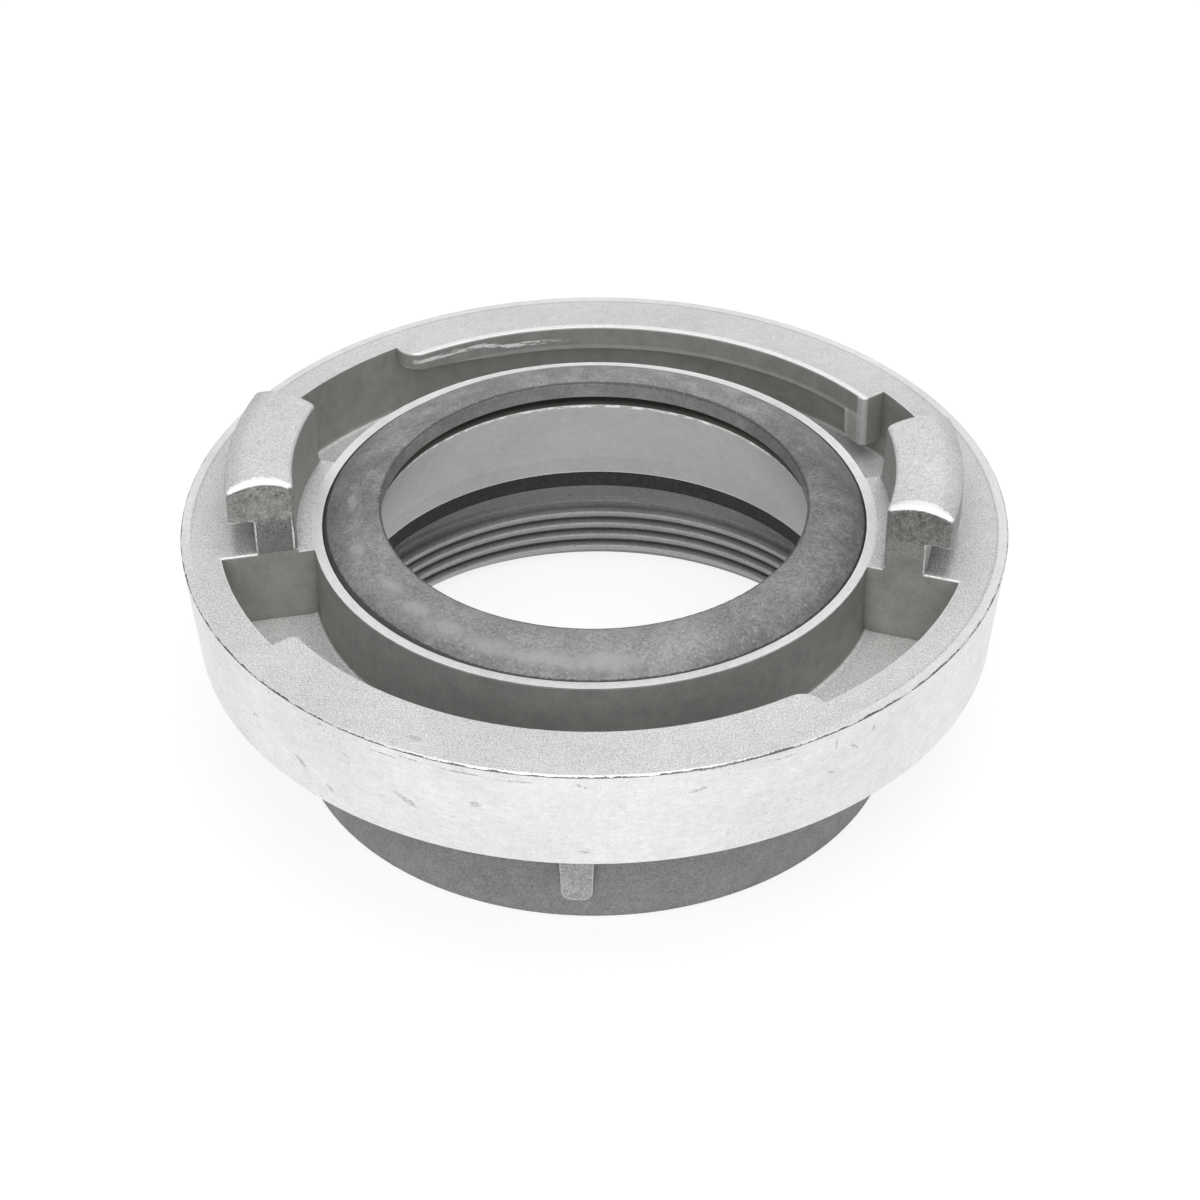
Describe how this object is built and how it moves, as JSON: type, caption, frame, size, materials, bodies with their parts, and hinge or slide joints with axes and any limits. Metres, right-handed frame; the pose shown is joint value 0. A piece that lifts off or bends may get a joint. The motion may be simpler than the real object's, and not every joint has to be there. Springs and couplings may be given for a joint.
{
  "type": "quarter turn fire hose coupling, fixed, with female pipe thread",
  "caption": "Aluminium quarter turn fire hose coupling: claw ring with hooked claws and lipped channels, rubber face seal, conical throat and a female pipe thread in the hub.",
  "frame": {"origin": "centre of the hub's end face, on the axis of the waterway", "axes": "+Z out of the coupling face, the way the claws point; the two claws stand on the X axis; -Z is the way a pipe leaves the thread"},
  "size_m": [0.1246, 0.1246, 0.0518],
  "materials": {
    "cast_body": "blasted casting, turned on the rim and bore",
    "seal_rubber": "matt grey moulded rubber with dust",
    "gasket_rubber": "matt black cut rubber"
  },
  "bodies": {
    "root": {"coupling_body": "cast_body", "face_seal": "seal_rubber", "thread_gasket": "gasket_rubber"}
  },
  "joints": []
}
